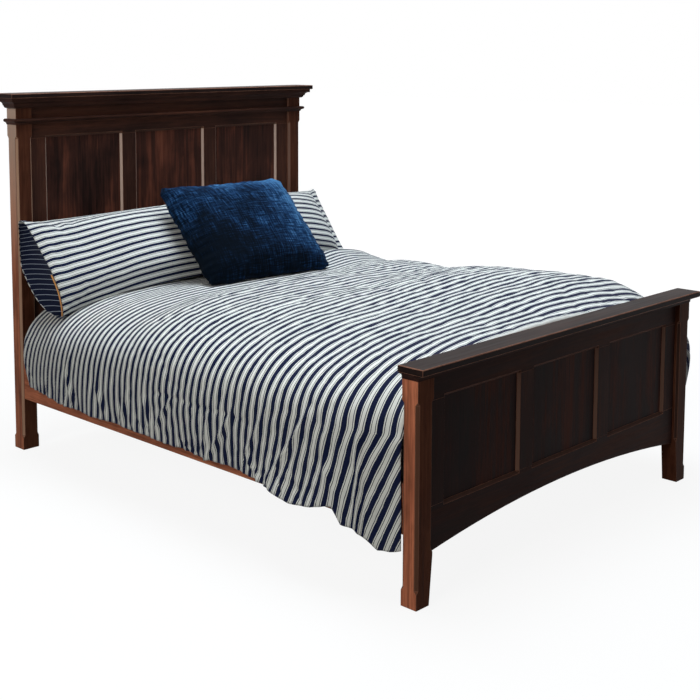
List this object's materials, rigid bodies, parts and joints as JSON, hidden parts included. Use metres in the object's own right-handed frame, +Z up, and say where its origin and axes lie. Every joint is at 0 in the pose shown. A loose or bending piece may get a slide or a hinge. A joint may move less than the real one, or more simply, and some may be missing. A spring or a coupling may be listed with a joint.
{
  "type": "panel bed",
  "caption": "Queen panel bed in dark stained wood with an arched footboard, side rails, slats, a foundation and mattress, a striped duvet, pillows and a denim cushion.",
  "frame": {"origin": "middle of the bed's floor outline, on the floor", "axes": "+Z up, +Y along the bed towards the headboard, +X across the bed towards the far side"},
  "size_m": [1.916, 2.255, 1.5],
  "materials": {
    "stained_wood": "dark espresso stain under a satin lacquer",
    "panel_wood": "dark reddish stain under a satin lacquer",
    "plain_wood": "planed softwood, unfinished",
    "steel": "zinc plated",
    "foundation_cloth": "plain woven cover",
    "mattress_cloth": "quilted knit cover",
    "ticking": "cream cotton with woven navy ticking stripes",
    "denim": "washed indigo denim with a slubby weave"
  },
  "bodies": {
    "bedstead": {"headboard_post_left": "stained_wood", "headboard_post_right": "stained_wood", "headboard_cap": "stained_wood", "headboard_crown_moulding": "stained_wood", "headboard_frieze": "stained_wood", "headboard_bead_moulding": "stained_wood", "headboard_top_rail": "stained_wood", "headboard_bottom_rail": "stained_wood", "headboard_stile_left": "stained_wood", "headboard_stile_right": "stained_wood", "headboard_muntin_left": "stained_wood", "headboard_muntin_right": "stained_wood", "headboard_panel_left": "panel_wood", "headboard_panel_centre": "panel_wood", "headboard_panel_right": "panel_wood", "footboard_post_left": "stained_wood", "footboard_post_right": "stained_wood", "footboard_cap": "stained_wood", "footboard_cove_moulding": "stained_wood", "footboard_top_rail": "stained_wood", "footboard_arched_rail": "stained_wood", "footboard_stile_left": "stained_wood", "footboard_stile_right": "stained_wood", "footboard_muntin_left": "stained_wood", "footboard_muntin_right": "stained_wood", "footboard_panel_left": "panel_wood", "footboard_panel_centre": "panel_wood", "footboard_panel_right": "panel_wood", "side_rail_left": "stained_wood", "side_rail_right": "stained_wood", "ledger_left": "plain_wood", "ledger_right": "plain_wood", "rail_hook_plates": "steel", "post_slot_plates": "steel", "plate_screws": "steel", "ledger_screws_set": "steel", "slat_screws": "steel", "slat_1": "plain_wood", "slat_2": "plain_wood", "slat_3": "plain_wood", "slat_4": "plain_wood", "slat_5": "plain_wood", "slat_6": "plain_wood", "slat_7": "plain_wood", "centre_beam": "plain_wood", "centre_leg_1": "plain_wood", "centre_leg_2": "plain_wood", "centre_leg_3": "plain_wood"},
    "leveller_1": {"leveller_1": "steel"},
    "leveller_2": {"leveller_2": "steel"},
    "leveller_3": {"leveller_3": "steel"},
    "foundation": {"foundation": "foundation_cloth"},
    "mattress": {"mattress": "mattress_cloth"},
    "duvet": {"duvet": "ticking"},
    "pillow_left": {"pillow_left": "ticking"},
    "pillow_right": {"pillow_right": "ticking"},
    "denim_cushion": {"denim_cushion": "denim"}
  },
  "joints": [
    {"name": "leveller_1_screw", "type": "slide", "parent": "bedstead", "child": "leveller_1", "axis": [0, 0, 1], "range_m": [0, 0.01]},
    {"name": "leveller_2_screw", "type": "slide", "parent": "bedstead", "child": "leveller_2", "axis": [0, 0, 1], "range_m": [0, 0.01]},
    {"name": "leveller_3_screw", "type": "slide", "parent": "bedstead", "child": "leveller_3", "axis": [0, 0, 1], "range_m": [0, 0.01]},
    {"name": "foundation_lift", "type": "slide", "parent": "bedstead", "child": "foundation", "axis": [0, 0, 1], "range_m": [0, 0.08]},
    {"name": "mattress_lift", "type": "slide", "parent": "foundation", "child": "mattress", "axis": [0, 0, 1], "range_m": [0, 0.08]},
    {"name": "duvet_lift", "type": "slide", "parent": "mattress", "child": "duvet", "axis": [0, 0, 1], "range_m": [0, 0.05]},
    {"name": "pillow_left_lift", "type": "slide", "parent": "duvet", "child": "pillow_left", "axis": [0, 0.7193, 0.6947], "range_m": [0, 0.06]},
    {"name": "pillow_right_lift", "type": "slide", "parent": "duvet", "child": "pillow_right", "axis": [0, 0.7193, 0.6947], "range_m": [0, 0.06]},
    {"name": "denim_cushion_lift", "type": "slide", "parent": "duvet", "child": "denim_cushion", "axis": [0, 0, 1], "range_m": [0, 0.1]}
  ]
}
